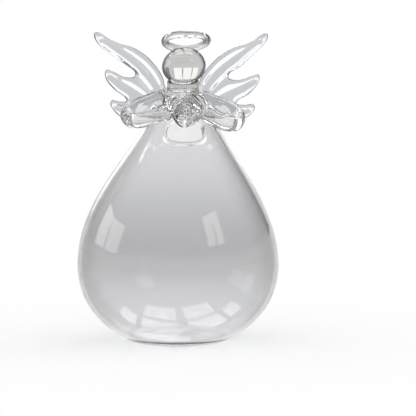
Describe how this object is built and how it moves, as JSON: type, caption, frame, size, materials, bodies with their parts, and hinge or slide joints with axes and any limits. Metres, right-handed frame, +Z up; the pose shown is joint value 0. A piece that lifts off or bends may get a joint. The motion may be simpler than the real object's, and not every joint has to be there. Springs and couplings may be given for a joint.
{
  "type": "hanging glass vase",
  "caption": "Clear glass teardrop vase in the form of a winged figure with a rose, a front mouth for stems and a halo ring to hang it by.",
  "frame": {"origin": "centre of the flat foot, in the plane that it stands on", "axes": "+Z up, -Y the front with the mouth and the rose, +X the figure's side on the right of a front view"},
  "size_m": [0.0764, 0.0764, 0.1178],
  "materials": {
    "blown_glass": "clear, smooth, hand-blown",
    "solid_glass": "clear, smooth, flame-worked",
    "pressed_glass": "clear, pressed, with soft ribs"
  },
  "bodies": {
    "root": {"vase_body": "blown_glass", "neck_collar": "solid_glass", "head_ball": "solid_glass", "halo_ring": "solid_glass", "arm_right": "solid_glass", "wing_right": "pressed_glass", "arm_left": "solid_glass", "wing_left": "pressed_glass", "rose_calyx": "solid_glass", "rose_bud": "solid_glass", "rose_petal_1": "solid_glass", "rose_petal_2": "solid_glass", "rose_petal_3": "solid_glass", "rose_petal_4": "solid_glass", "rose_petal_5": "solid_glass", "rose_petal_6": "solid_glass", "rose_petal_7": "solid_glass", "rose_petal_8": "solid_glass"}
  },
  "joints": []
}
